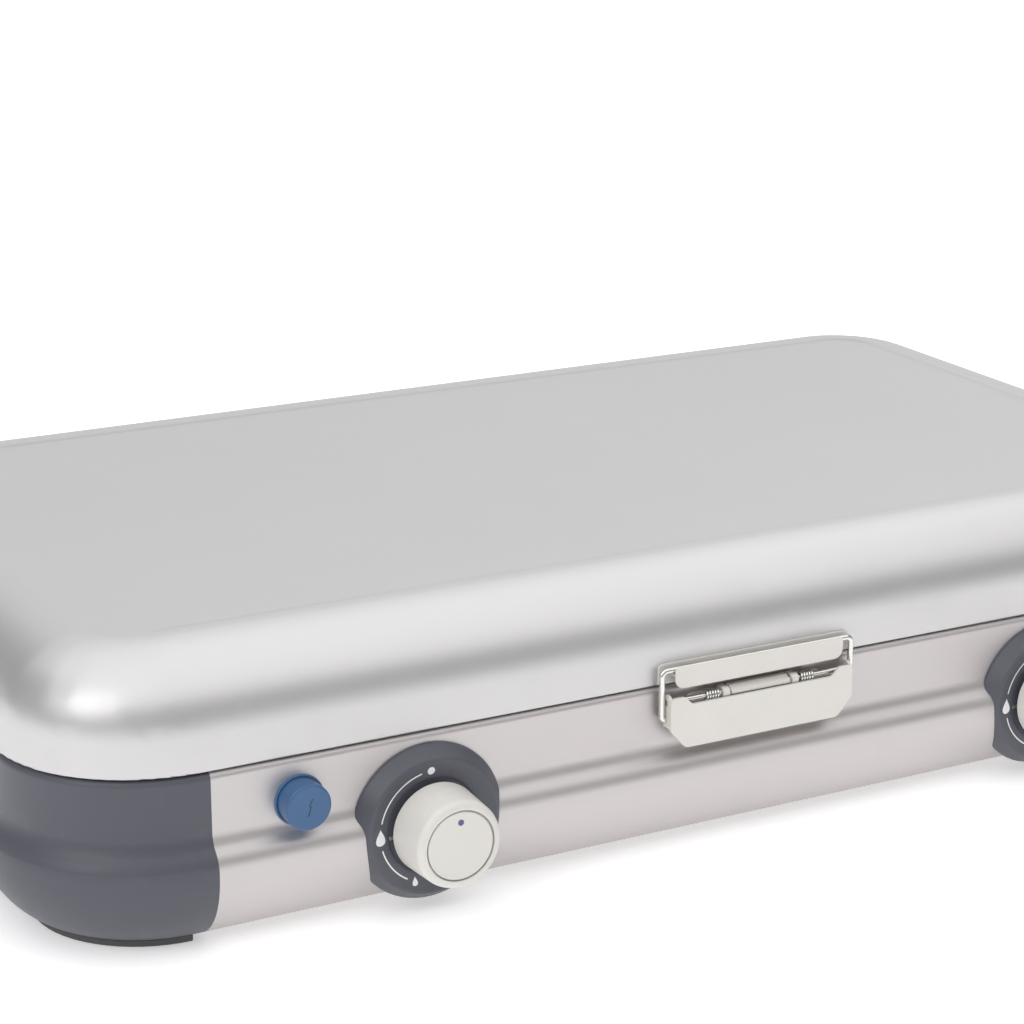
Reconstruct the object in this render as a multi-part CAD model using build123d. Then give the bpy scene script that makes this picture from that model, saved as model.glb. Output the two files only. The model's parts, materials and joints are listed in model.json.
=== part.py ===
"""Two-burner camping stove with a hinged lid, closed as for carrying, in millimetres.

Origin: on the ground, under the centre of the body. +X runs along the stove's length, +Y to the
rear and +Z up. Distances called "out" are measured outwards from the upper flat of the base's wall.
"""
from build123d import *
import math
import os

os.makedirs("parts", exist_ok=True)

# ---- Driving dimensions ------------------------------------------------------------------
HALF_LENGTH = 298.0        # centre to the flat of the end walls
HALF_DEPTH = 174.0         # centre to the flat of the front and rear walls
CORNER_R = 58.0            # plan radius of the body's four corners
SEAM_Z = 72.0              # height of the joint between base and lid
SEAM_GAP = 0.5             # open height of that joint
LID_TOP_Z = 116.0          # highest point of the lid
BOTTOM_Z = 3.0             # underside of the base, held up by the feet
SHEET = 1.0                # pressed steel of the base and the lid
CAP_WALL = 2.5             # moulded wall of the end caps
CAP_START_X = 236.0        # where the pressed base meets each end cap
SHOULDER_R = 3.0           # bend at the top edge of the base
STEP_TOP_Z = 44.4          # where the wall starts to step outwards
STEP_LOW_Z = 38.0          # where the step ends
STEP_OUT = 6.0             # how far the lower wall stands out
STEP_R = 9.0               # bend radius of the step
SWEEP_R = 34.0             # large bend that carries the lower wall under the base
SWEEP_TURN = 58.5          # degrees turned by that bend
SWEEP_CENTRE_Z = 33.0      # height of its centre
CREASE_R = 6.0             # bend between the sweep and the flat bottom
RIM_WIDTH = 14.0           # inward flange round the top of the base

LID_WALL = 14.0            # straight height of the lid's wall
LID_ROLL = 36.0            # inward reach of the lid's rounded shoulder
PANEL_DROP = 0.6           # embossed centre of the lid, below the shoulder's top
PANEL_SLOPE = 2.0          # width of the sloped emboss line
HEM = 2.2                  # folded hem round the lid's mouth
HEM_HEIGHT = 6.0

TRAY_SHEET = 0.8
TRAY_EDGE = 4.0            # tray flange, in from the wall
TRAY_INSET = 16.0          # tray well, in from the wall
TRAY_FLOOR_Z = 64.0
LEDGE_WIDTH = 5.0          # ledge of the rim, in from the well
WELL_FLOOR_Z = 56.0
WELL_R = 80.0
BURNER_X = 148.0
BURNER_Y = 8.0
BURNER_HOLE_R = 34.0

DIAL_Z = 35.6              # height of the knobs, valves and mixing tubes
DIAL_R = 32.0              # bezel, where it meets the wall
DIAL_FACE_R = 27.4
DIAL_HEIGHT = 7.6
KNOB_R = 18.5
KNOB_FRONT_R = 17.5
KNOB_START = 8.2           # back of the knob, out from the wall
KNOB_FACE = 29.0
FACE_RING_R = 14.0
SPINDLE_R = 3.0
RUN = 0.06                 # radial running clearance of pins and spindles

IGNITER_X = -201.0
IGNITER_Z = 54.5
BUTTON_R = 9.15
BUTTON_FACE = 9.6

LATCH_HALF = 43.5          # half width of the lever
LEVER_PIVOT_OUT = 4.2
LEVER_PIVOT_Z = 66.0
BAIL_PIVOT_OUT = 3.6
BAIL_PIVOT_Z = 58.8
BAIL_TOP_OUT = 3.2
BAIL_TOP_Z = 79.0
BAIL_WIRE_R = 1.25
BAIL_HALF = 45.2
LEVER_FACE = 8.0
LEVER_LOW_Z = 47.0
LEVER_TOP_Z = 65.0
LEVER_HORN_Z = 68.6        # top of the rounded horn at each end of the lever
LEVER_SHEET = 1.2
STRIKE_HALF = 45.3
STRIKE_TOP_Z = 81.2
LIP_HALF = 40.0            # half width of the strike's front plate
LIP_OUT = 5.4
LIP_SHEET = 0.8
LIP_TOP_Z = 80.2
LIP_LOW_Z = 71.4
EAR_SPAN = 16.5            # centre of each bracket ear, from the latch's middle

FOOT_R = 45.5              # outer edge of a foot pad, from the corner's centre
FOOT_WIDTH = 20.0
FOOT_PEG_R = 3.0

HINGE_X = 190.0
HINGE_OUT = 4.5            # hinge axis, out from the rear wall
HINGE_R = 3.2
HINGE_PIN_R = 1.6
HINGE_LENGTH = 60.0

WING_HINGE_X = 243.0
WING_HINGE_Z = 109.5
WING_REACH = 100.0
WING_SHEET = 1.0
WING_PIN_R = 1.5

PIPE_R = 4.0
PIPE_BORE_R = 2.6
PIPE_Z = 18.0
PIPE_Y = -140.0
INLET_X = -205.0
INLET_R = 10.0
INLET_END_Y = 203.5

TRAY_SCREW_R = 1.5
RIVET_R = 2.0
STRIKE_RIVET_R = 1.0
STRIKE_RIVET_Z = 74.8
STRIKE_RIVET_X = 30.0

CORNER_X = HALF_LENGTH - CORNER_R
CORNER_Y = HALF_DEPTH - CORNER_R
BASE_TOP_Z = SEAM_Z - SEAM_GAP / 2
LID_LOW_Z = SEAM_Z + SEAM_GAP / 2
FRONT_Y = -HALF_DEPTH
REAR_Y = HALF_DEPTH
HINGE_LOW_RIVET_Z = SEAM_Z - 12.8
HINGE_HIGH_RIVET_Z = (SEAM_Z + 3.6 + LID_LOW_Z + LID_WALL - 1) / 2
SIDES = {"left": -1, "right": 1}
LOW = (Align.CENTER, Align.CENTER, Align.MIN)


def hinge_rivet_places():
    """X of the four rivets on each side of the lid's hinges."""
    return [side * HINGE_X + shift for side in SIDES.values() for shift in (-18, 18)]


# ---- Small helpers -----------------------------------------------------------------------
def save(shape, node):
    """Write one sub-part under its node name."""
    export_step(shape, f"parts/{node}.step")


def rod(start, end, radius):
    """Round bar from one point to another."""
    start = Vector(start)
    along = Vector(end) - start
    return extrude(Plane(origin=start, z_dir=along) * Circle(radius), amount=along.length)


def slab(half_x, half_y, corner, low, high):
    """Rounded rectangular plate centred on the origin."""
    return Pos(0, 0, low) * extrude(RectangleRounded(2 * half_x, 2 * half_y, corner), amount=high - low)


def block(x0, x1, y0, y1, z0, z1):
    """Rectangular block between two corners."""
    size = Box(x1 - x0, y1 - y0, z1 - z0)
    return Pos((x0 + x1) / 2, (y0 + y1) / 2, (z0 + z1) / 2) * size


def outwards(outline, x, z, rounds=()):
    """Turned solid about the front-to-rear axis at x, z. Outline points are (radius, out).

    Each entry of rounds is an outline corner and the radius that it gets.
    """
    face = make_face(Polyline(*outline, close=True))
    for corner, radius in rounds:
        face = fillet(face.vertices().sort_by_distance((*corner, 0))[0], radius)
    turned = revolve(Plane.XZ * face, axis=Axis.Z)
    return Pos(x, FRONT_Y, z) * Rot(90, 0, 0) * turned


def ring_of_body(face):
    """Sweep a half profile (radius from the corner axis, height) round the rounded rectangle."""
    heights = [corner.Y for corner in face.vertices() if abs(corner.X) < 1e-6]
    quarter = revolve(Plane.XZ * face, axis=Axis.Z, revolution_arc=90)
    corner = Pos(CORNER_X, CORNER_Y, 0) * quarter
    end = Pos(CORNER_X, CORNER_Y, 0) * extrude(Plane.XZ * face, amount=2 * CORNER_Y)
    side = Pos(-CORNER_X, CORNER_Y, 0) * extrude(Plane.YZ * face, amount=2 * CORNER_X)
    body = block(-CORNER_X, CORNER_X, -CORNER_Y, CORNER_Y, min(heights), max(heights))
    rear_right = [corner, end, side]
    pieces = rear_right + [corner.mirror(Plane.YZ), end.mirror(Plane.YZ)]
    pieces += [corner.mirror(Plane.XZ), side.mirror(Plane.XZ)]
    pieces += [corner.mirror(Plane.YZ).mirror(Plane.XZ)]
    return body.fuse(*pieces).clean()


def base_profile(wall):
    """Half profile of the base's skin, set in by a wall thickness."""
    turn = math.radians(SWEEP_TURN)
    reach = SWEEP_R * math.tan(turn / 2)
    sweep_z = SWEEP_CENTRE_Z - reach
    run = (sweep_z - BOTTOM_Z) / math.cos(turn)
    crease_out = STEP_OUT - run * math.sin(turn)
    step = math.atan2(STEP_OUT, STEP_TOP_Z - STEP_LOW_Z)
    step_shift = wall * math.tan(step / 2)
    sweep_shift = wall * math.tan(turn / 2)
    crease_shift = wall * math.tan((math.pi / 2 - turn) / 2)
    points = [
        (0, BASE_TOP_Z - wall),
        (CORNER_R - wall, BASE_TOP_Z - wall),
        (CORNER_R - wall, STEP_TOP_Z - step_shift),
        (CORNER_R + STEP_OUT - wall, STEP_LOW_Z - step_shift),
        (CORNER_R + STEP_OUT - wall, sweep_z + sweep_shift),
        (CORNER_R + crease_out - crease_shift, BOTTOM_Z + wall),
        (0, BOTTOM_Z + wall),
    ]
    radii = [SHOULDER_R - wall, STEP_R + wall, STEP_R - wall, SWEEP_R - wall, CREASE_R - wall]
    chain = FilletPolyline(*points, radius=radii)
    return make_face(chain + Line(points[-1], points[0]))


def base_volume(wall):
    """Everything inside the base's skin."""
    return ring_of_body(base_profile(wall))


def lid_volume(wall, low):
    """Everything inside the lid's skin, down to a height."""
    wall_r = CORNER_R - wall
    roll_x = CORNER_R - LID_ROLL
    roll_z = LID_LOW_Z + LID_WALL
    top = LID_TOP_Z - wall
    flat = roll_x - 2.5
    roll = EllipticalCenterArc((roll_x, roll_z), LID_ROLL - wall, top - roll_z, arc_size=90)
    low_line = Polyline((flat - PANEL_SLOPE, top - PANEL_DROP), (0, top - PANEL_DROP), (0, low),
                        (wall_r, low))
    outline = roll + Line((wall_r, low), (wall_r, roll_z))
    outline += Polyline((roll_x, top), (flat, top), (flat - PANEL_SLOPE, top - PANEL_DROP))
    outline += low_line
    return ring_of_body(make_face(outline))


OUTER = base_volume(0)
INNER = base_volume(SHEET)


# ---- Base: pressed wrapper, moulded end caps, tray, feet ----------------------------------
def rim_opening():
    """Clear opening inside the base's top flange."""
    return slab(HALF_LENGTH - RIM_WIDTH, HALF_DEPTH - RIM_WIDTH, CORNER_R - RIM_WIDTH,
                BASE_TOP_Z - 2 * CAP_WALL, BASE_TOP_Z + 1)


def middle(limit):
    """Block that keeps only the part of the body within a distance of the centre."""
    return block(-limit, limit, -HALF_DEPTH - 20, HALF_DEPTH + 20, -1, LID_TOP_Z)


def make_base_shell():
    """Front, bottom and rear in one bent sheet, with holes for dials, button and inlet."""
    shell = (OUTER - INNER - rim_opening()) & middle(CAP_START_X)
    for side in SIDES.values():
        shell -= rod((side * BURNER_X, FRONT_Y - 20, DIAL_Z), (side * BURNER_X, FRONT_Y + 20, DIAL_Z), 8)
    shell -= rod((IGNITER_X, FRONT_Y - 5, IGNITER_Z), (IGNITER_X, FRONT_Y + 5, IGNITER_Z), 9.8)
    shell -= rod((INLET_X, REAR_Y - 5, DIAL_Z), (INLET_X, REAR_Y + 12, DIAL_Z), INLET_R)
    for x in range(-180, 181, 60):
        for y in (-40, 0, 40):
            shell -= Pos(x, y, BOTTOM_Z) * Cylinder(4, 6)
    for x, y in TRAY_SCREWS:
        shell -= Pos(x, y, BASE_TOP_Z) * Cylinder(TRAY_SCREW_R, 8)
    for x in hinge_rivet_places():
        shell -= rod((x, REAR_Y - 5, HINGE_LOW_RIVET_Z), (x, REAR_Y + 5, HINGE_LOW_RIVET_Z), RIVET_R)
    return shell


def make_end_cap(side):
    """Moulded end: a hollow shell with a tongue that carries the edge of the pressed base."""
    cap = OUTER - base_volume(CAP_WALL) - rim_opening()
    tongue = INNER - base_volume(CAP_WALL) - rim_opening()
    outer_end = block(CAP_START_X, HALF_LENGTH + 20, -200, 200, -1, LID_TOP_Z)
    lap = block(CAP_START_X - 8, CAP_START_X, -200, 200, -1, LID_TOP_Z)
    whole = (cap & outer_end).fuse(tongue & lap).clean()
    reach = (FOOT_R - FOOT_WIDTH / 2) * math.sqrt(0.5)
    for y in (-CORNER_Y - reach, CORNER_Y + reach):
        whole -= Pos(CORNER_X + reach, y, BOTTOM_Z) * Cylinder(FOOT_PEG_R, 3 * CAP_WALL)
    for x, y in CAP_SCREWS:
        whole -= Pos(x, y, BOTTOM_Z) * Cylinder(1.4, 3 * CAP_WALL)
    return whole if side > 0 else whole.mirror(Plane.YZ)


def make_hob_tray():
    """Pressed spill tray with a dished well round each burner. It rests on the rim's ledge."""
    half_x = HALF_LENGTH - TRAY_INSET - TRAY_SHEET - RUN
    half_y = HALF_DEPTH - TRAY_INSET - TRAY_SHEET - RUN
    corner = CORNER_R - TRAY_INSET - TRAY_SHEET - RUN
    tray = slab(half_x, half_y, corner, TRAY_FLOOR_Z - TRAY_SHEET, TRAY_FLOOR_Z)
    depth = TRAY_FLOOR_Z - WELL_FLOOR_Z
    dish_z = (TRAY_FLOOR_Z + WELL_FLOOR_Z) / 2
    for side in SIDES.values():
        at = Pos(side * BURNER_X, BURNER_Y, dish_z)
        outside_r = WELL_R + TRAY_SHEET / 2
        tray += at * Pos(0, 0, -TRAY_SHEET) * Cone(outside_r - depth, outside_r, depth)
        tray -= at * Cone(WELL_R - depth, WELL_R, depth)
    for side in SIDES.values():
        tray -= Pos(side * BURNER_X, BURNER_Y, WELL_FLOOR_Z) * Cylinder(BURNER_HOLE_R, 6)
        x, y = electrode_place(side)
        tray -= Pos(x, y, WELL_FLOOR_Z) * Cylinder(4.5, 6)
    return tray


def make_tray_rim():
    """Pressed frame round the tray: a flange on the base, a wall and a ledge under the tray."""
    well = [half - TRAY_INSET for half in (HALF_LENGTH, HALF_DEPTH, CORNER_R)]
    rim = slab(HALF_LENGTH - TRAY_EDGE, HALF_DEPTH - TRAY_EDGE, CORNER_R - TRAY_EDGE,
               BASE_TOP_Z, BASE_TOP_Z + TRAY_SHEET)
    ledge_z = TRAY_FLOOR_Z - TRAY_SHEET
    rim += slab(*well, ledge_z - TRAY_SHEET, BASE_TOP_Z)
    rim -= slab(*[half - TRAY_SHEET for half in well], ledge_z, SEAM_Z + 2)
    rim -= slab(*[half - LEDGE_WIDTH for half in well], ledge_z - 2, SEAM_Z)
    for x, y in TRAY_SCREWS:
        rim -= Pos(x, y, BASE_TOP_Z) * Cylinder(TRAY_SCREW_R, 4)
    return rim


CAP_SCREWS = [(256, -60), (256, 60)]
TRAY_SCREWS = [(x, y) for x in (-200, 0, 200) for y in (-165, 165)]


def electrode_place(side):
    """Where each spark electrode stands, beside its burner."""
    return side * BURNER_X - 36.8, BURNER_Y - 36.8


def make_feet():
    """Four soft pads, each a quarter ring that follows its corner, pegged into the end caps."""
    ring = extrude(Circle(FOOT_R) - Circle(FOOT_R - FOOT_WIDTH), amount=BOTTOM_Z)
    pad = ring & block(0, FOOT_R, 0, FOOT_R, 0, BOTTOM_Z)
    middle_r = (FOOT_R - FOOT_WIDTH / 2) * math.sqrt(0.5)
    pad += Pos(middle_r, middle_r, 0) * Cylinder(FOOT_PEG_R, BOTTOM_Z + CAP_WALL, align=LOW)
    pad = Pos(CORNER_X, CORNER_Y, 0) * pad
    right = [pad, pad.mirror(Plane.XZ)]
    return Compound(right + [foot.mirror(Plane.YZ) for foot in right])


def screw(head_r, head_h, shank_r, length):
    """Pan-head screw: head upwards, its underside at the origin."""
    head = Cylinder(head_r, head_h, align=LOW)
    head = fillet(head.edges().group_by(Axis.Z)[-1], head_h * 0.45)
    shank = Pos(0, 0, -length) * Cylinder(shank_r, length, align=LOW)
    slot_long = Pos(0, 0, head_h) * Box(head_r * 1.1, head_r * 0.25, head_h * 0.8)
    slot_cross = Pos(0, 0, head_h) * Box(head_r * 0.25, head_r * 1.1, head_h * 0.8)
    return head + shank - slot_long - slot_cross


# ---- Burners and gas train -----------------------------------------------------------------
def tube_y(x, z, y0, y1, outer, inner):
    """Straight tube along Y."""
    return rod((x, y0, z), (x, y1, z), outer) - rod((x, y0 - 1, z), (x, y1 + 1, z), inner)


def make_burner_cup(side):
    """Cast bowl under the tray, with a socket for the mixing tube."""
    bowl = Pos(0, 0, 24) * Cylinder(33.4, 36, align=LOW)
    bowl += Pos(0, 0, 52.2) * Cylinder(40, 3, align=LOW)
    bowl = Pos(side * BURNER_X, BURNER_Y, 0) * bowl
    bowl += rod((side * BURNER_X, BURNER_Y, DIAL_Z), (side * BURNER_X, BURNER_Y - 42, DIAL_Z), 11)
    hollow = Pos(0, 0, 27) * Cylinder(30.4, 36, align=LOW)
    bowl -= Pos(side * BURNER_X, BURNER_Y, 0) * hollow
    return bowl - rod((side * BURNER_X, BURNER_Y, DIAL_Z), (side * BURNER_X, BURNER_Y - 50, DIAL_Z), 8)


def make_mixing_tube(side):
    """Steel venturi tube with a flared mouth in front of the jet."""
    x = side * BURNER_X
    tube = tube_y(x, DIAL_Z, -92, BURNER_Y - 31, 8, 6.8)
    flare = Cone(12, 8, 11, align=LOW)
    flare -= Cone(10.8, 6.8, 11, align=LOW)
    return tube + Pos(x, -103, DIAL_Z) * Rot(-90, 0, 0) * flare


def make_burner_crown(side):
    """Ring of flame ports that sits in the cup's mouth."""
    crown = Pos(0, 0, 60) * Cylinder(30, 9, align=LOW)
    crown += Pos(0, 0, 54) * Cylinder(30.3, 6, align=LOW)
    crown += Pos(0, 0, 60) * Cylinder(35, 3, align=LOW)
    crown -= Pos(0, 0, 50) * Cylinder(24, 20, align=LOW)
    for turn in range(0, 360, 15):
        port = Pos(27, 0, 66.5) * Box(10, 1.6, 5.2)
        crown -= Rot(0, 0, turn) * port
    return Pos(side * BURNER_X, BURNER_Y, 0) * crown


def make_burner_cap(side):
    """Enamelled disc with a turned-down edge that covers the crown."""
    cap = Pos(0, 0, 69) * Cylinder(32, 3.2, align=LOW)
    cap = fillet(cap.edges().group_by(Axis.Z)[-1], 2)
    plug = Pos(0, 0, 66) * (Cylinder(23.8, 3, align=LOW) - Cylinder(21.5, 3, align=LOW))
    return Pos(side * BURNER_X, BURNER_Y, 0) * (cap + plug)


def make_valve(side):
    """Brass tap: nose with the spindle's bore, body, inlet boss and outlet."""
    x = side * BURNER_X
    valve = rod((x, -172, DIAL_Z), (x, -150, DIAL_Z), 6)
    valve += rod((x, -160.5, DIAL_Z), (x, -126, DIAL_Z), 10)
    valve += rod((x, -126, DIAL_Z), (x, -116, DIAL_Z), 5.5)
    valve += rod((x, PIPE_Y, PIPE_Z), (x, PIPE_Y, DIAL_Z), 5.5)
    valve -= rod((x, -175, DIAL_Z), (x, -148, DIAL_Z), SPINDLE_R + RUN)
    return valve - rod((x - 20, PIPE_Y, PIPE_Z), (x + 20, PIPE_Y, PIPE_Z), PIPE_R)


def make_valve_bracket(side):
    """Steel angle that stands on the base and holds the tap's nose."""
    x = side * BURNER_X
    bracket = block(x - 19, x + 19, -162, -160.5, BOTTOM_Z + SHEET, 56)
    bracket += block(x - 19, x + 19, -162, -146, BOTTOM_Z + SHEET, BOTTOM_Z + SHEET + 1.5)
    bracket &= INNER
    return bracket - rod((x, -165, DIAL_Z), (x, -155, DIAL_Z), 6)


def make_jet(side):
    """Hexagonal brass injector with its gas drilling."""
    x = side * BURNER_X
    jet = Pos(x, -116, DIAL_Z) * Rot(-90, 0, 0) * extrude(RegularPolygon(4.6, 6), amount=6)
    jet += rod((x, -110, DIAL_Z), (x, -106, DIAL_Z), 3)
    return jet - rod((x, -117, DIAL_Z), (x, -105, DIAL_Z), 0.6)


def pipe_route():
    """Gas pipe's centre line: from behind the right tap, past the left one, to the rear inlet."""
    return FilletPolyline((BURNER_X + 14, PIPE_Y, PIPE_Z), (INLET_X, PIPE_Y, PIPE_Z), (INLET_X, 152, PIPE_Z),
                          radius=20)


def make_gas_pipe():
    """Bent copper pipe, closed at the far end, that feeds both taps."""
    route = pipe_route()
    start = Plane(origin=route @ 0, z_dir=route % 0)
    pipe = sweep(start * Circle(PIPE_R), path=route) - sweep(start * Circle(PIPE_BORE_R), path=route)
    plug = rod(route @ 0, (BURNER_X + 11, PIPE_Y, PIPE_Z), PIPE_BORE_R)
    return pipe + plug


def make_gas_inlet():
    """Brass elbow block: a threaded spigot out of the rear wall, and a socket for the pipe."""
    wall_y = REAR_Y + STEP_OUT
    inlet = block(INLET_X - 11, INLET_X + 11, 142, 161, 9, 47)
    inlet = fillet(inlet.edges().filter_by(Axis.Y), 4)
    inlet += rod((INLET_X, 160, DIAL_Z), (INLET_X, INLET_END_Y, DIAL_Z), INLET_R)
    nut = Pos(INLET_X, wall_y, DIAL_Z) * Rot(-90, 0, 0) * extrude(RegularPolygon(14, 6), amount=4.5)
    inlet += nut & (Pos(INLET_X, wall_y, DIAL_Z) * Rot(-90, 0, 0) * Cone(15.5, 13.2, 5, align=LOW))
    inlet -= rod((INLET_X, 140, PIPE_Z), (INLET_X, 152, PIPE_Z), PIPE_R)
    inlet -= rod((INLET_X, 152, PIPE_Z), (INLET_X, 160, PIPE_Z), PIPE_BORE_R)
    inlet -= rod((INLET_X, 158, DIAL_Z), (INLET_X, INLET_END_Y + 1, DIAL_Z), 3)
    return inlet - rod((INLET_X, 158, PIPE_Z - 1), (INLET_X, 158, DIAL_Z), 2)


# ---- Ignition ------------------------------------------------------------------------------
def make_igniter_bush():
    """Flanged sleeve in the front wall that guides the button."""
    flange = outwards([(0, 0), (10.1, 0), (10.1, 0.7), (9.8, 1.0), (0, 1.0)], IGNITER_X, IGNITER_Z)
    sleeve = outwards([(0, 0), (9.8, 0), (9.8, -14.5), (0, -14.5)], IGNITER_X, IGNITER_Z)
    bore = outwards([(0, 2), (9.35, 2), (9.35, -23), (0, -23)], IGNITER_X, IGNITER_Z)
    return flange - OUTER + sleeve - bore


def make_igniter_button():
    """Push button with a rounded front edge and a stem that enters the piezo unit."""
    outline = [(0, BUTTON_FACE), (BUTTON_R, BUTTON_FACE), (BUTTON_R, -6), (0, -6)]
    face = outwards(outline, IGNITER_X, IGNITER_Z)
    face = fillet(face.edges().group_by(Axis.Y)[0], 1.0)
    return face + outwards([(0, -6), (3, -6), (3, -18), (0, -18)], IGNITER_X, IGNITER_Z)


def make_igniter_body():
    """Piezo unit, held in the rear of the sleeve, with two outlet nipples."""
    outline = [(0, -11), (9.35, -11), (9.35, -14.5), (7, -14.5), (7, -52), (0, -52)]
    body = outwards(outline, IGNITER_X, IGNITER_Z)
    body -= outwards([(0, -10), (3.1, -10), (3.1, -24), (0, -24)], IGNITER_X, IGNITER_Z)
    for shift in (-3, 3):
        x = IGNITER_X + shift
        body += rod((x, FRONT_Y + 52, IGNITER_Z), (x, FRONT_Y + 56, IGNITER_Z), 2)
    return body


def make_electrode(side):
    """Ceramic insulator with its steel spark tip, bent towards the burner."""
    x, y = electrode_place(side)
    body = Pos(x, y, 46) * Cylinder(2.6, 22, align=LOW) + Pos(x, y, 51) * Cylinder(4, 4, align=LOW)
    tip = rod((x, y, 60), (x, y, 71), 0.9) + Pos(x, y, 71) * Sphere(0.9)
    lean = 7.0
    return body + tip + rod((x, y, 71), (x + lean * 0.7, y + lean * 0.7, 71), 0.9)


LEAD_R = 1.1


def make_lead(side):
    """Insulated lead from the piezo unit to one electrode."""
    x, y = electrode_place(side)
    start_x = IGNITER_X + 3 * side
    start = (start_x, FRONT_Y + 56, IGNITER_Z)
    end = (x, y, 46)
    if side < 0:
        middle_points = [(start_x, -88, IGNITER_Z), (x, -62, 28), (x, y, 26)]
        radii = [11, 11, 11]
    else:
        middle_points = [(start_x, -96, IGNITER_Z), (x, -96, IGNITER_Z), (x, -58, 27), (x, y, 26)]
        radii = [14, 14, 11, 11]
    route = FilletPolyline(start, *middle_points, end, radius=radii)
    return sweep(Plane(origin=route @ 0, z_dir=route % 0) * Circle(LEAD_R), path=route)


# ---- Dials and knobs ------------------------------------------------------------------------
def make_bezel(side):
    """Moulded dial ring that wraps over the step in the wall."""
    outline = [(7, -6), (DIAL_R - 1.5, -6), (DIAL_R, 1.0), (DIAL_FACE_R, DIAL_HEIGHT)]
    outline += [(20, DIAL_HEIGHT - 1.0), (19, DIAL_HEIGHT - 1.6), (7, DIAL_HEIGHT - 1.6)]
    rounds = [((DIAL_FACE_R, DIAL_HEIGHT), 2.0), ((DIAL_R, 1.0), 2.5)]
    return outwards(outline, side * BURNER_X, DIAL_Z, rounds) - OUTER


def make_spindle(side):
    """Steel spindle that joins a knob to its tap."""
    x = side * BURNER_X
    return rod((x, FRONT_Y - 22, DIAL_Z), (x, -150, DIAL_Z), SPINDLE_R)


def make_knob(side):
    """Moulded control knob, slightly tapered, with a recess for its face disc."""
    recess = FACE_RING_R + 0.35
    outline = [(0, KNOB_START), (KNOB_R, KNOB_START), (KNOB_FRONT_R, KNOB_FACE), (recess, KNOB_FACE),
               (recess, KNOB_FACE - 1.6), (0, KNOB_FACE - 1.6)]
    rounds = [((KNOB_FRONT_R, KNOB_FACE), 2.9), ((KNOB_R, KNOB_START), 0.8)]
    knob = outwards(outline, side * BURNER_X, DIAL_Z, rounds)
    hollow = [(5.5, KNOB_START - 1), (15.8, KNOB_START - 1), (15.0, 24), (5.5, 24)]
    knob -= outwards(hollow, side * BURNER_X, DIAL_Z)
    return knob - rod((side * BURNER_X, FRONT_Y - 22, DIAL_Z), (side * BURNER_X, FRONT_Y, DIAL_Z), SPINDLE_R)


def make_knob_disc(side):
    """Face disc pressed into the knob, a little smaller than its recess so that a ring shows."""
    rim_r = FACE_RING_R - 0.35
    outline = [(0, KNOB_FACE - 1.6), (rim_r, KNOB_FACE - 1.6), (rim_r, KNOB_FACE - 0.35),
               (rim_r - 0.35, KNOB_FACE), (0, KNOB_FACE + 0.2)]
    return outwards(outline, side * BURNER_X, DIAL_Z)


# ---- Pan supports ---------------------------------------------------------------------------
SUPPORT_WIRE_R = 2.5
SUPPORT_Z = 86.0


def make_pan_support(side):
    """Welded wire grid: a frame, four legs on the tray and fingers towards the burner."""
    half = 84.0
    frame = RectangleRounded(2 * half, 2 * half, 18).wire()
    ring = sweep(Plane(origin=frame @ 0, z_dir=frame % 0) * Circle(SUPPORT_WIRE_R), path=frame)
    grid = Pos(0, 0, SUPPORT_Z) * ring
    for turn in range(0, 360, 90):
        finger = rod((half, 0, SUPPORT_Z), (26, 0, SUPPORT_Z), SUPPORT_WIRE_R)
        leg = rod((half, 40, SUPPORT_Z), (half, 40, TRAY_FLOOR_Z), SUPPORT_WIRE_R)
        grid += Rot(0, 0, turn) * (finger + Pos(26, 0, SUPPORT_Z) * Sphere(SUPPORT_WIRE_R))
        grid += Rot(0, 0, turn) * leg
    return Pos(side * BURNER_X, BURNER_Y, 0) * grid


# ---- Lid ------------------------------------------------------------------------------------
def make_lid_shell():
    """Pressed lid: rounded shoulders, embossed top and a folded hem."""
    shell = lid_volume(0, LID_LOW_Z) - lid_volume(SHEET, LID_LOW_Z - 1)
    hem = slab(HALF_LENGTH, HALF_DEPTH, CORNER_R, LID_LOW_Z, LID_LOW_Z + HEM_HEIGHT)
    hem -= slab(HALF_LENGTH - HEM, HALF_DEPTH - HEM, CORNER_R - HEM, LID_LOW_Z - 1, SEAM_Z + 20)
    shell += hem
    shell = fillet(shell.edges().group_by(Axis.Z)[0], 0.8)
    for x in (-STRIKE_RIVET_X, STRIKE_RIVET_X):
        shell -= rod((x, FRONT_Y - 5, STRIKE_RIVET_Z), (x, FRONT_Y + 5, STRIKE_RIVET_Z), STRIKE_RIVET_R)
    for x in hinge_rivet_places():
        shell -= rod((x, REAR_Y - 5, HINGE_HIGH_RIVET_Z), (x, REAR_Y + 5, HINGE_HIGH_RIVET_Z), RIVET_R)
    return shell


def knuckles(x, spans):
    """Hinge knuckles round the lid's axis, one for each span of X."""
    y = REAR_Y + HINGE_OUT
    return [rod((x + a, y, SEAM_Z), (x + b, y, SEAM_Z), HINGE_R) for a, b in spans]


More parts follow.
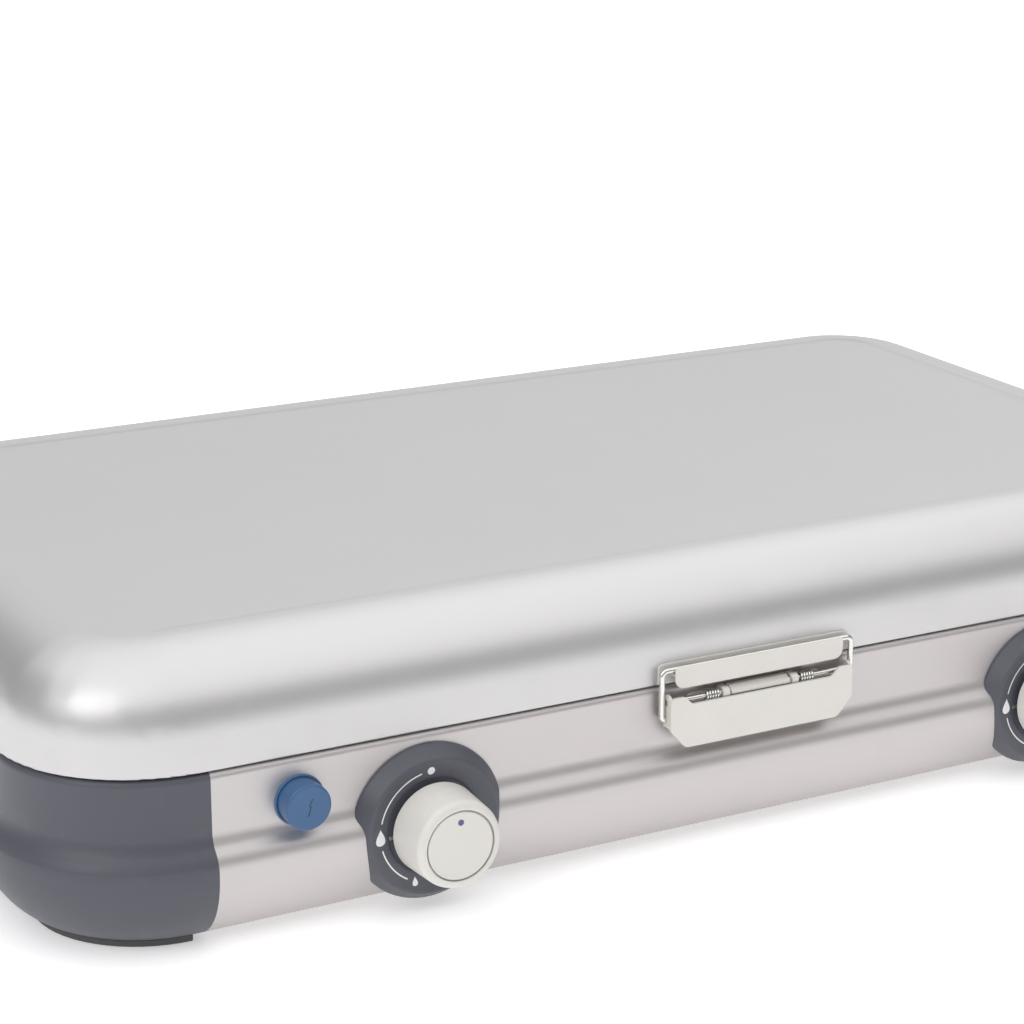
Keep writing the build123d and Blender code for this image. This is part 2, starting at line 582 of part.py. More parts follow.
def make_hinge_leaves(part):
    """Pair of leaves. The base leaf has the outer knuckles, the lid leaf the middle one."""
    half = HINGE_LENGTH / 2
    third = HINGE_LENGTH / 6
    gap = 0.3
    leaves = []
    for side in SIDES.values():
        x = side * HINGE_X
        if part == "base":
            spans = [(-half, -third - gap), (third + gap, half)]
            plate = block(x - half, x + half, REAR_Y, REAR_Y + 1.5, SEAM_Z - 22, SEAM_Z - 3.6)
            web_z = (SEAM_Z - 5, SEAM_Z)
        else:
            spans = [(-third + gap, third - gap)]
            plate = block(x - half, x + half, REAR_Y, REAR_Y + 1.5, SEAM_Z + 3.6, LID_LOW_Z + LID_WALL - 1)
            web_z = (SEAM_Z, SEAM_Z + 5)
        leaf = plate
        for (a, b), barrel in zip(spans, knuckles(x, spans)):
            leaf += barrel
            leaf += block(x + a, x + b, REAR_Y + 0.3, REAR_Y + 2.4, web_z[0], web_z[1])
        y = REAR_Y + HINGE_OUT
        bore = HINGE_PIN_R if part == "base" else HINGE_PIN_R + RUN
        leaf -= rod((x - half - 1, y, SEAM_Z), (x + half + 1, y, SEAM_Z), bore)
        z = HINGE_LOW_RIVET_Z if part == "base" else HINGE_HIGH_RIVET_Z
        for shift in (-18, 18):
            leaf -= rod((x + shift, REAR_Y - 1, z), (x + shift, REAR_Y + 3, z), RIVET_R)
        leaves.append(leaf)
    return Compound(leaves)


def make_hinge_pins():
    """Two headed hinge pins."""
    pins = []
    for side in SIDES.values():
        start = side * HINGE_X - HINGE_LENGTH / 2
        y = REAR_Y + HINGE_OUT
        pin = rod((start - 1.4, y, SEAM_Z), (start + HINGE_LENGTH + 1.4, y, SEAM_Z), HINGE_PIN_R)
        pin += rod((start - 1.4, y, SEAM_Z), (start, y, SEAM_Z), 2.6)
        pin += rod((start + HINGE_LENGTH, y, SEAM_Z), (start + HINGE_LENGTH + 1.4, y, SEAM_Z), 2.6)
        pins.append(pin)
    return Compound(pins)


def rivet(x, y0, y1, z, radius, head):
    """Domed rivet along Y: its head stands beyond y1, its shank runs from y0."""
    direction = 1 if y1 > y0 else -1
    shank = rod((x, y0, z), (x, y1, z), radius)
    dome = rod((x, y1, z), (x, y1 + direction * 1.2, z), head)
    far = dome.edges().sort_by(Axis.Y)
    edge = far[-1] if direction > 0 else far[0]
    return shank + fillet(edge, 0.8)


def make_hinge_rivets(part):
    """Four rivets that hold the leaves of one side."""
    z = HINGE_LOW_RIVET_Z if part == "base" else HINGE_HIGH_RIVET_Z
    inside = REAR_Y - (SHEET if part == "base" else HEM)
    return Compound([rivet(x, inside, REAR_Y + 1.5, z, RIVET_R, 3.4) for x in hinge_rivet_places()])


# ---- Latch ----------------------------------------------------------------------------------
def latch_pin_line(radius, half, out=LEVER_PIVOT_OUT, z=LEVER_PIVOT_Z):
    """Bar along X, centred, at a distance out of the front wall."""
    return rod((-half, FRONT_Y - out, z), (half, FRONT_Y - out, z), radius)


def make_latch_bracket():
    """Plate on the base's wall, two rounded lugs for the pin and a sloped apron between them."""
    plate = block(-32, 32, FRONT_Y - 1.2, FRONT_Y, 48, 67)
    bracket = fillet(plate.edges().filter_by(Axis.Y), 3)
    for side in SIDES.values():
        ear = latch_pin_line(2.5, 1.5)
        ear += block(-1.5, 1.5, FRONT_Y - LEVER_PIVOT_OUT, FRONT_Y - 1, 57, 66)
        ear += block(-1.5, 1.5, FRONT_Y - LEVER_PIVOT_OUT, FRONT_Y - 1, 64, 68.3)
        bracket += Pos(side * EAR_SPAN, 0, 0) * ear
    slope = Polyline((1.0, 68.3), (3.4, 68.3), (6.4, 66.3), (6.4, 65.3), (3.2, 66.2), (1.0, 66.2), close=True)
    apron = Pos(EAR_SPAN - 2.5, FRONT_Y, 0) * extrude(Plane.YZ * make_face(slope), amount=5 - 2 * EAR_SPAN)
    bracket += apron.mirror(Plane(origin=(0, FRONT_Y, 0), z_dir=(0, 1, 0)))
    return bracket - latch_pin_line(BAIL_WIRE_R, 50)


def make_latch_springs():
    """Two torsion springs wound on the lever's pin, outside the lugs."""
    coils = []
    for start in (-EAR_SPAN - 8.6, EAR_SPAN + 2.6):
        helix = Helix(pitch=1.25, height=6.0, radius=1.95)
        wire = sweep(Plane(origin=helix @ 0, z_dir=helix % 0) * Circle(0.5), path=helix)
        coils.append(Pos(start, FRONT_Y - LEVER_PIVOT_OUT, LEVER_PIVOT_Z) * Rot(0, 90, 0) * wire)
    return Compound(coils)


def make_latch_lever():
    """Bent plate: flat face, chamfered lower corners, and side flanges with rounded horns."""
    y_face = FRONT_Y - LEVER_FACE
    half_outline = [
        (0, LEVER_TOP_Z), (LATCH_HALF - 10, LEVER_TOP_Z), (LATCH_HALF - 6.5, LEVER_HORN_Z),
        (LATCH_HALF, LEVER_HORN_Z), (LATCH_HALF, 55), (LATCH_HALF - 7, LEVER_LOW_Z), (0, LEVER_LOW_Z)]
    line = FilletPolyline(*half_outline, radius=[3, 2, 2.5, 2, 4])
    half_face = make_face(line + Line((0, LEVER_LOW_Z), (0, LEVER_TOP_Z)))
    half_plate = Pos(0, y_face + LEVER_SHEET, 0) * extrude(Plane.XZ * half_face, amount=LEVER_SHEET)
    lever = half_plate + half_plate.mirror(Plane.YZ)
    for side in SIDES.values():
        x = side * (LATCH_HALF - LEVER_SHEET / 2)
        half = LEVER_SHEET / 2
        out = LEVER_PIVOT_OUT
        flange = block(-half, half, y_face, FRONT_Y - 2.2, 55.6, LEVER_PIVOT_Z)
        flange += rod((-half, FRONT_Y - out, LEVER_PIVOT_Z), (half, FRONT_Y - out, LEVER_PIVOT_Z), 3.4)
        flange += block(-half, half, y_face, FRONT_Y - out, LEVER_PIVOT_Z - 2, LEVER_PIVOT_Z + 1.2)
        lever += Pos(x, 0, 0) * flange
    lever -= latch_pin_line(BAIL_WIRE_R + RUN, 50)
    return lever - latch_pin_line(BAIL_WIRE_R + RUN, 50, BAIL_PIVOT_OUT, BAIL_PIVOT_Z)


def make_latch_bail():
    """Bent wire loop: top bar, two legs and inturned ends in the lever's flanges."""
    y_top = FRONT_Y - BAIL_TOP_OUT
    y_low = FRONT_Y - BAIL_PIVOT_OUT
    inner = LATCH_HALF - LEVER_SHEET - 1.4
    route = FilletPolyline(
        (-inner, y_low, BAIL_PIVOT_Z), (-BAIL_HALF, y_low, BAIL_PIVOT_Z), (-BAIL_HALF, y_top, BAIL_TOP_Z),
        (BAIL_HALF, y_top, BAIL_TOP_Z), (BAIL_HALF, y_low, BAIL_PIVOT_Z), (inner, y_low, BAIL_PIVOT_Z),
        radius=[1.6, 2.4, 2.4, 1.6])
    return sweep(Plane(origin=route @ 0, z_dir=route % 0) * Circle(BAIL_WIRE_R), path=route)


def make_latch_strike():
    """Channel on the lid: a back leaf, a shelf under the bail's bar and a front plate over it."""
    shelf_z = BAIL_TOP_Z - BAIL_WIRE_R - 0.3
    back = block(-STRIKE_HALF, STRIKE_HALF, FRONT_Y - 1.0, FRONT_Y, LID_LOW_Z + 0.6, STRIKE_TOP_Z)
    back = fillet(back.edges().filter_by(Axis.Y).group_by(Axis.Z)[-1], 2)
    shelf = block(-LIP_HALF, LIP_HALF, FRONT_Y - LIP_OUT, FRONT_Y - 0.5, shelf_z - 1.0, shelf_z)
    lip = block(-LIP_HALF, LIP_HALF, FRONT_Y - LIP_OUT, FRONT_Y - LIP_OUT + LIP_SHEET, LIP_LOW_Z, LIP_TOP_Z)
    lip = fillet(lip.edges().filter_by(Axis.Y).group_by(Axis.Z)[0], 4)
    lip = fillet(lip.edges().filter_by(Axis.Y).group_by(Axis.Z)[-1], 1.5)
    strike = back + shelf + lip
    for x in (-STRIKE_RIVET_X, STRIKE_RIVET_X):
        strike -= rod((x, FRONT_Y - 2, STRIKE_RIVET_Z), (x, FRONT_Y + 2, STRIKE_RIVET_Z), STRIKE_RIVET_R)
    return strike


def make_strike_rivets():
    """Two small rivets through the strike's back leaf."""
    rivets = []
    for x in (-STRIKE_RIVET_X, STRIKE_RIVET_X):
        rivets.append(rivet(x, FRONT_Y + HEM, FRONT_Y - 1.0, STRIKE_RIVET_Z, STRIKE_RIVET_R, 1.6))
    return Compound(rivets)


# ---- Folding windshields ---------------------------------------------------------------------
WING_NEAR = 35.0           # rear end of a wing at its hinge, from the lid's axis
WING_TIP_NEAR = 78.0       # rear end of a wing at its free edge
WING_FAR = 300.0


def make_windshield(side):
    """Flat wing with a rolled hinge edge, folded up under the lid."""
    axis_y = REAR_Y + HINGE_OUT
    x0 = WING_HINGE_X
    x1 = WING_HINGE_X - WING_REACH
    outline = Polyline((x0, axis_y - WING_NEAR), (x0, axis_y - WING_FAR), (x1 + 14, axis_y - WING_FAR),
                       (x1, axis_y - WING_FAR + 14), (x1, axis_y - WING_TIP_NEAR), close=True)
    wing = Pos(0, 0, WING_HINGE_Z - WING_SHEET / 2) * extrude(make_face(outline), amount=WING_SHEET)
    for y0, y1 in WING_KNUCKLES:
        wing += rod((x0, y0, WING_HINGE_Z), (x0, y1, WING_HINGE_Z), 2.7)
    for y in WING_BRACKETS:
        wing -= block(x0 - 6, x0 + 6, y - 6.3, y + 6.3, WING_HINGE_Z - 5, WING_HINGE_Z + 5)
    wing -= rod((x0, -200, WING_HINGE_Z), (x0, 200, WING_HINGE_Z), WING_PIN_R + RUN)
    return wing if side > 0 else wing.mirror(Plane.YZ)


WING_BRACKETS = [-90.0, 20.0, 110.0]
WING_KNUCKLES = [(-121.5, 143.5)]


def make_windshield_brackets():
    """Six bent lugs that hang under the lid's top and carry the wings' pins."""
    lugs = []
    top = LID_TOP_Z - PANEL_DROP - SHEET
    for side in SIDES.values():
        for y in WING_BRACKETS:
            x = side * WING_HINGE_X
            lug = block(x - 5, x + 5, y - 6, y + 6, top - 1.0, top)
            lug += block(x - 3, x + 3, y - 5, y + 5, WING_HINGE_Z - 2.8, top)
            lug -= rod((x, y - 9, WING_HINGE_Z), (x, y + 9, WING_HINGE_Z), WING_PIN_R)
            lugs.append(lug)
    return Compound(lugs)


def make_windshield_pins():
    """Two long pins, one for each wing."""
    pins = []
    for side in SIDES.values():
        x = side * WING_HINGE_X
        pins.append(rod((x, -123, WING_HINGE_Z), (x, 144, WING_HINGE_Z), WING_PIN_R))
    return Compound(pins)


# ---- Fasteners --------------------------------------------------------------------------------
def make_tray_screws():
    """Six pan-head screws through the tray's flange."""
    one = Pos(0, 0, BASE_TOP_Z + TRAY_SHEET) * screw(2.6, 1.2, TRAY_SCREW_R, 4.0)
    return Compound([Pos(x, y, 0) * one for x, y in TRAY_SCREWS])


def make_cap_screws():
    """Four screws up through the end caps' undersides."""
    one = Rot(180, 0, 0) * screw(3.2, 1.4, 1.4, CAP_WALL)
    return Compound([Pos(s * x, y, BOTTOM_Z) * one for s in SIDES.values() for x, y in CAP_SCREWS])


# ---- Build ---------------------------------------------------------------------------------------
save(make_base_shell(), "base_shell")
save(make_hob_tray(), "hob_tray")
save(make_tray_rim(), "tray_rim")
save(make_feet(), "feet")
save(make_gas_pipe(), "gas_pipe")
save(make_gas_inlet(), "gas_inlet")
save(make_igniter_bush(), "igniter_bush")
save(make_igniter_button(), "igniter_button")
save(make_igniter_body(), "igniter_body")
save(make_latch_bracket(), "latch_bracket")
save(latch_pin_line(BAIL_WIRE_R, LATCH_HALF + 0.2), "latch_pin")
save(make_latch_springs(), "latch_springs")
save(make_latch_lever(), "latch_lever")
save(make_latch_bail(), "latch_bail")
save(make_latch_strike(), "latch_strike")
save(make_strike_rivets(), "strike_rivets")
save(make_lid_shell(), "lid_shell")
save(make_hinge_leaves("base"), "hinge_leaves_base")
save(make_hinge_leaves("lid"), "hinge_leaves_lid")
save(make_hinge_pins(), "hinge_pins")
save(make_hinge_rivets("base"), "hinge_rivets_base")
save(make_hinge_rivets("lid"), "hinge_rivets_lid")
save(make_windshield_brackets(), "windshield_brackets")
save(make_windshield_pins(), "windshield_pins")
save(make_tray_screws(), "tray_screws")
save(make_cap_screws(), "cap_screws")
for word, sign in SIDES.items():
    save(make_end_cap(sign), f"end_cap_{word}")
    save(make_burner_cup(sign), f"burner_cup_{word}")
    save(make_mixing_tube(sign), f"mixing_tube_{word}")
    save(make_burner_crown(sign), f"burner_crown_{word}")
    save(make_burner_cap(sign), f"burner_cap_{word}")
    save(make_valve(sign), f"valve_{word}")
    save(make_valve_bracket(sign), f"valve_bracket_{word}")
    save(make_jet(sign), f"jet_{word}")
    save(make_electrode(sign), f"electrode_{word}")
    save(make_lead(sign), f"ignition_lead_{word}")
    save(make_bezel(sign), f"bezel_{word}")
    save(make_spindle(sign), f"spindle_{word}")
    save(make_knob(sign), f"knob_{word}")
    save(make_knob_disc(sign), f"knob_disc_{word}")
    save(make_pan_support(sign), f"pan_support_{word}")
    save(make_windshield(sign), f"windshield_{word}")
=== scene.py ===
import bpy
import bmesh
import json
import math
from mathutils import Vector, Matrix
from mathutils.bvhtree import BVHTree

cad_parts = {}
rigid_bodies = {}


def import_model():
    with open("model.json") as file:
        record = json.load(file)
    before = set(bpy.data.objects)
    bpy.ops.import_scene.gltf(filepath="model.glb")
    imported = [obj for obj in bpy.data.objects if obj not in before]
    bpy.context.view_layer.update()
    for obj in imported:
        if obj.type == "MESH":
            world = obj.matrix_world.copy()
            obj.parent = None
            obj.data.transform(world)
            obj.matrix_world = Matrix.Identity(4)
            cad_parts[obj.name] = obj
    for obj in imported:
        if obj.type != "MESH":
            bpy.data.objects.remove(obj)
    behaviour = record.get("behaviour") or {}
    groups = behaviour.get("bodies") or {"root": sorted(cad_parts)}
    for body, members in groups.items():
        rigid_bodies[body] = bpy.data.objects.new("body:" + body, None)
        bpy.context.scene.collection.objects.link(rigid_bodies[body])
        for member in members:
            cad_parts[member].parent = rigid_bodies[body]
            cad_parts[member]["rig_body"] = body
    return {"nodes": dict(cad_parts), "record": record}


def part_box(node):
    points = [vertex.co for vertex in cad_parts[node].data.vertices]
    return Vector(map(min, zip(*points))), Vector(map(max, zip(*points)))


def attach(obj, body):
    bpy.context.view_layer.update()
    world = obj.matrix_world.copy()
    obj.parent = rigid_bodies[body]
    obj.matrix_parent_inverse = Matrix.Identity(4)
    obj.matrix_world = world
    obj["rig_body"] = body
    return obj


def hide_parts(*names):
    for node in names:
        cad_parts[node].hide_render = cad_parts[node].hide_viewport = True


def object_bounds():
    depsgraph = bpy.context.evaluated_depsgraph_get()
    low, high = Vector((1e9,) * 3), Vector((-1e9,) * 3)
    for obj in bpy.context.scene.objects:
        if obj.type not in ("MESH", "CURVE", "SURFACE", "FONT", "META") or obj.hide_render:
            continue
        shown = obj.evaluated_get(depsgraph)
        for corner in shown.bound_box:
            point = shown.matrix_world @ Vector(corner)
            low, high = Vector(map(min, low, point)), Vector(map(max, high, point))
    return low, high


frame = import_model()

cad_box = [list(corner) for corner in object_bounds()]
low = Vector(cad_box[0])

# ---- Studio --------------------------------------------------------------------------------------
# A flat pale floor under the stove, a very large soft light overhead, a small one at the left
# front, a lit wall far behind, and a long lens that looks down on the left front corner.
MM = 0.001
CAMERA_PLACE = Vector((-598.9, -1083.0, 468.1)) * MM
CAMERA_YAW, CAMERA_PITCH, CAMERA_ROLL = 29.58, 17.72, 0.47
LENS_MM = 100.34
LENS_SHIFT = (-0.0625, 0.0381)

scene = bpy.context.scene
scene.view_settings.view_transform = "Standard"


def aim(place, target):
    """Matrix that stands at a place and looks at a target."""
    turn = (target - place).to_track_quat("-Z", "Y")
    return Matrix.Translation(place) @ turn.to_matrix().to_4x4()


def add_softbox(name, place, target, width, height, power):
    """A rectangular soft light."""
    lamp = bpy.data.lights.new(name, "AREA")
    lamp.shape = "RECTANGLE"
    lamp.size, lamp.size_y, lamp.energy = width, height, power
    holder = bpy.data.objects.new(name, lamp)
    holder.matrix_world = aim(Vector(place), Vector(target))
    scene.collection.objects.link(holder)


camera = bpy.data.objects.new("camera", bpy.data.cameras.new("camera"))
camera.data.lens = LENS_MM
camera.data.shift_x, camera.data.shift_y = LENS_SHIFT
yaw, pitch = math.radians(CAMERA_YAW), math.radians(CAMERA_PITCH)
forward = Vector((math.sin(yaw) * math.cos(pitch), math.cos(yaw) * math.cos(pitch), -math.sin(pitch)))
roll = Matrix.Rotation(math.radians(CAMERA_ROLL), 4, "Z")
camera.matrix_world = aim(CAMERA_PLACE, CAMERA_PLACE + forward) @ roll
scene.collection.objects.link(camera)
scene.camera = camera

add_softbox("overhead_light", (0.3, -0.35, 2.0), (0.3, -0.34, 0), 4.2, 4.3, 62)
add_softbox("left_light", (-2.0, -0.8, 1.5), (0, 0, 0.05), 1.3, 1.2, 14)
add_softbox("rear_wall", (1.9, 3.2, 2.0), (0, 0, 1.4), 6.0, 3.8, 34)

world = bpy.data.worlds.new("studio_walls")
world.use_nodes = True
world.node_tree.nodes["Background"].inputs["Color"].default_value = (0.93, 0.93, 0.95, 1)
world.node_tree.nodes["Background"].inputs["Strength"].default_value = 0.33
scene.world = world

FLOOR_HALF = 8.0
FLOOR_DROP = 0.0002
floor_mesh = bpy.data.meshes.new("studio_floor")
corners = [(-FLOOR_HALF, -FLOOR_HALF), (FLOOR_HALF, -FLOOR_HALF),
           (FLOOR_HALF, FLOOR_HALF), (-FLOOR_HALF, FLOOR_HALF)]
floor_mesh.from_pydata([(x, y, low.z - FLOOR_DROP) for x, y in corners], [], [(0, 1, 2, 3)])
floor = bpy.data.objects.new("studio_floor", floor_mesh)
scene.collection.objects.link(floor)


class Wire:
    """One value in a finish's node tree. Arithmetic on it adds Math nodes."""

    def __init__(self, finish, socket):
        self.finish = finish
        self.socket = socket

    def math(self, operation, *terms):
        sockets = dict(enumerate(terms))
        return self.finish.node("ShaderNodeMath", {"operation": operation}, sockets)

    def __add__(self, other):
        return self.math("ADD", self, other)

    def __sub__(self, other):
        return self.math("SUBTRACT", self, other)

    def __mul__(self, other):
        return self.math("MULTIPLY", self, other)

    def step(self, edge, width):
        """Smooth 0 to 1 step round an edge value."""
        ends = {"From Min": edge - width, "From Max": edge + width}
        smooth = {"interpolation_type": "SMOOTHSTEP"}
        return self.finish.node("ShaderNodeMapRange", smooth, {"Value": self, **ends})

    __radd__ = __add__


class Finish:
    """One material: a Principled shader whose fixed values sit on its own sockets."""

    def __init__(self, name, slot_name, **fixed):
        self.material = bpy.data.materials.new(name)
        self.material.use_nodes = True
        self.slot_name = slot_name
        self.tree = self.material.node_tree
        self.shader = self.tree.nodes["Principled BSDF"]
        for socket, value in fixed.items():
            self.shader.inputs[socket.replace("_", " ")].default_value = value
        self.place = self.node("ShaderNodeTexCoord", {}, {}, "Object")

    def node(self, kind, settings, sockets, output=0):
        """Add a node: its settings first, then the values or links of its sockets."""
        made = self.tree.nodes.new(kind)
        for key, value in settings.items():
            setattr(made, key, value)
        for key, value in sockets.items():
            if isinstance(value, Wire):
                self.tree.links.new(value.socket, made.inputs[key])
            else:
                made.inputs[key].default_value = value
        return Wire(self, made.outputs[output])

    def stretched(self, scale):
        """Object coordinates, scaled differently along each axis."""
        return self.node("ShaderNodeMapping", {}, {"Vector": self.place, "Scale": scale})

    def noise(self, scale, detail=3.0, roughness=0.5, where=None):
        """Soft random field, about 1 / scale metres from blob to blob."""
        sockets = {"Vector": where or self.place, "Scale": scale, "Detail": detail, "Roughness": roughness}
        return self.node("ShaderNodeTexNoise", {}, sockets)

    def cells(self, scale):
        """Distance field of scattered cells, for grain and moulded texture."""
        return self.node("ShaderNodeTexVoronoi", {}, {"Vector": self.place, "Scale": scale})

    def mixed(self, factor, first, second):
        """Blend of two colours."""
        sockets = {0: factor, 6: first, 7: second}
        return self.node("ShaderNodeMix", {"data_type": "RGBA"}, sockets, 2)

    def feed(self, **wires):
        """Link varying values into the shader."""
        for socket, wire in wires.items():
            self.tree.links.new(wire.socket, self.shader.inputs[socket.replace("_", " ")])

    def relief(self, height, depth):
        """Bump from a height field, depth in metres."""
        sockets = {"Height": height, "Strength": 1.0, "Distance": depth}
        self.feed(Normal=self.node("ShaderNodeBump", {}, sockets))


floor_finish = Finish("studio_floor", None, Roughness=0.6, Emission_Color=(1, 1, 1, 1), Emission_Strength=0.4)
floor_tone = floor_finish.noise(1.3, 2.0)
floor_finish.feed(Base_Color=floor_finish.mixed(floor_tone, (0.90, 0.90, 0.90, 1), (0.93, 0.93, 0.93, 1)))
floor_mesh.materials.append(floor_finish.material)

# ---- Lid -----------------------------------------------------------------------------------------
# Deep-drawn steel lid with rounded shoulders and a shallow embossed centre. It is sprayed with
# a fine silver lacquer, so the sheet's grain shows through only faintly.
SHEEN = 0.38
WELD_REACH = 3e-6
FLAT_ANGLE = 0.002
ROUNDED_FROM = math.radians(40)


def smooth_copy(node, finish, sharp_angle=32.0, edge=0.0):
    """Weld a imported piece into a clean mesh, round its edges slightly and give it its finish."""
    source = frame["nodes"][node]
    shell = bmesh.new()
    shell.from_mesh(source.data)
    bmesh.ops.remove_doubles(shell, verts=shell.verts, dist=WELD_REACH)
    bmesh.ops.dissolve_limit(shell, angle_limit=FLAT_ANGLE, verts=shell.verts, edges=shell.edges)
    limit = math.radians(sharp_angle)
    for face in shell.faces:
        face.smooth = True
    for line in shell.edges:
        line.smooth = len(line.link_faces) == 2 and line.calc_face_angle(0.0) < limit
    mesh = bpy.data.meshes.new(node + "_finished")
    shell.to_mesh(mesh)
    shell.free()
    piece = bpy.data.objects.new(node + "_finished", mesh)
    scene.collection.objects.link(piece)
    if edge:
        rounding = piece.modifiers.new("rounding", "BEVEL")
        rounding.width, rounding.segments, rounding.limit_method = edge, 2, "ANGLE"
        rounding.angle_limit = ROUNDED_FROM
        rounding.use_clamp_overlap = True
    weighted = piece.modifiers.new("weighted", "WEIGHTED_NORMAL")
    weighted.keep_sharp = True
    view_layer = bpy.context.evaluated_depsgraph_get()
    result = bpy.data.meshes.new_from_object(piece.evaluated_get(view_layer))
    piece.modifiers.clear()
    piece.data = result
    piece.data.name = node + "_finished"
    piece.data.materials.clear()
    piece.data.materials.append(finish.material)
    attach(piece, source["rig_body"])
    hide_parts(node)


def silver_lacquer(name, slot_name, tone, roughness):
    """Silver lacquer over drawn sheet: fine flake, faint grain along X and hand marks."""
    finish = Finish(name, slot_name, Metallic=0.82, IOR=1.5)
    flake = finish.noise(5200.0, 2.0, 0.7)
    grain = finish.noise(60.0, 4.0, 0.6, finish.stretched((0.5, 26.0, 26.0)))
    cloud = finish.noise(7.0, 3.0)
    marks = finish.noise(38.0, 5.0, 0.65).step(0.62, 0.07)
    dark = tuple(v * 0.93 for v in tone) + (1,)
    light = tuple(min(1.0, v * 1.04) for v in tone) + (1,)
    finish.feed(Base_Color=finish.mixed(flake * 0.55 + cloud * 0.35 + grain * 0.1, dark, light))
    finish.feed(Roughness=roughness + flake * 0.05 + grain * 0.05 + marks * 0.035)
    finish.relief(flake * 0.35 + grain * 0.4 + cloud * 0.6, 0.00003)
    return finish


lid_steel = silver_lacquer("lid_silver_lacquer", "pressed_steel", (0.625, 0.615, 0.618), SHEEN)
smooth_copy("lid_shell", lid_steel, 35.0)

# ---- Base wrapper --------------------------------------------------------------------------------
# Front, underside and rear are one bent sheet in the same lacquer as the lid. The step in the
# wall and the wide bend under it are rolled along the sheet, so the grain runs with them.
# Its tone is set darker than the lid's to paint shade onto the wrapper's walls; the lacquer itself is the
# same as the lid's.
base_lacquer_painted_shade = silver_lacquer("base_silver_lacquer_painted_shade", "pressed_steel", (0.585, 0.555, 0.55), SHEEN + 0.02)
smooth_copy("base_shell", base_lacquer_painted_shade, 35.0)


# ---- End caps and dial rings ---------------------------------------------------------------------
# Injection-moulded polypropylene in slate grey with an even spark-eroded texture. The caps close
# the ends of the wrapper, and the dial rings are pressed on behind the knobs.
def moulded(name, slot_name, tone, roughness, grain=2600.0, depth=0.00002, sheen=0.0):
    """Moulded plastic with a spark-eroded skin, faint flow marks and rubbed patches."""
    finish = Finish(name, slot_name, IOR=1.48)
    skin = finish.cells(grain)
    flow = finish.noise(22.0, 3.0)
    rub = finish.noise(90.0, 4.0, 0.6).step(0.64, 0.08)
    dark = tuple(v * 0.9 for v in tone) + (1,)
    light = tuple(min(1.0, v * 1.1 + 0.004) for v in tone) + (1,)
    finish.feed(Base_Color=finish.mixed(flow * 0.6 + rub * 0.25, dark, light))
    finish.feed(Roughness=roughness + skin * 0.08 - rub * 0.05)
    finish.relief(skin + flow * 0.6, depth)
    return finish


slate = moulded("slate_plastic", "grey_plastic", (0.086, 0.089, 0.109), 0.40)
for side in ("left", "right"):
    smooth_copy("end_cap_" + side, slate, 35.0)
    smooth_copy("bezel_" + side, slate, 28.0)

# ---- Dial marks ----------------------------------------------------------------------------------
# White tampo print on each dial ring: a dot for off, two thin arcs, a large flame and a small one.
# The print is a film a tenth of a millimetre thick, half sunk in the sloping face of the ring.
PRINT_R = 22.9 * MM
PRINT_LIFT = 0.05 * MM
OFF_DOT_ACROSS, OFF_DOT_R = -0.055 * PRINT_R, 1.55 * MM
ARC_WIDTH = 0.55 * MM
SPARK_SCALE = 0.8 * MM


def print_film(name, outlines, node, body, finish):
    """Closed thin films on the front of a piece, from outlines of (across, up) points round its centre."""
    surface = frame["nodes"][node].data
    skin = BVHTree.FromPolygons([v.co for v in surface.vertices], [f.vertices for f in surface.polygons])
    centre = (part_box(node)[0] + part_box(node)[1]) / 2

    def place(across, up, lift):
        start = Vector((centre.x + across, low.y - 1.0, centre.z + up))
        return skin.ray_cast(start, Vector((0, 1, 0)))[0] - Vector((0, lift, 0))

    film = bmesh.new()
    for outline in outlines:
        under = [film.verts.new(place(a, u, -PRINT_LIFT)) for a, u in outline]
        over = [film.verts.new(place(a, u, PRINT_LIFT)) for a, u in outline]
        film.faces.new(over)
        film.faces.new(list(reversed(under)))
        for i in range(len(outline)):
            j = (i + 1) % len(outline)
            film.faces.new((over[i], under[i], under[j], over[j]))
    bmesh.ops.recalc_face_normals(film, faces=film.faces)
    bmesh.ops.triangulate(film, faces=film.faces)
    mesh = bpy.data.meshes.new(name)
    film.to_mesh(mesh)
    film.free()
    mesh.materials.append(finish.material)
    piece = bpy.data.objects.new(name, mesh)
    scene.collection.objects.link(piece)
    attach(piece, body)


def disc(across, up, radius, steps=28):
    """Round outline."""
    turns = [2 * math.pi * i / steps for i in range(steps)]
    return [(across + radius * math.cos(t), up + radius * math.sin(t)) for t in turns]


def flame(angle, radius, half_width, height):
    """Upright teardrop outline at an angle anticlockwise from the top."""
    across, up = -radius * math.sin(angle), radius * math.cos(angle)
    turns = [2 * math.pi * i / 30 for i in range(30)]
    return [(across + half_width * 1.3 * math.sin(t) * math.sin(t / 2) ** 1.6, up + height / 2 * math.cos(t))
            for t in turns]


def arc(start, end, radius, width, steps=24):
    """Thin curved band between two angles anticlockwise from the top."""
    turns = [start + (end - start) * i / steps for i in range(steps + 1)]
    outer = [(-(radius + width / 2) * math.sin(t), (radius + width / 2) * math.cos(t)) for t in turns]
    inner = [(-(radius - width / 2) * math.sin(t), (radius - width / 2) * math.cos(t)) for t in turns]
    return outer + inner[::-1]


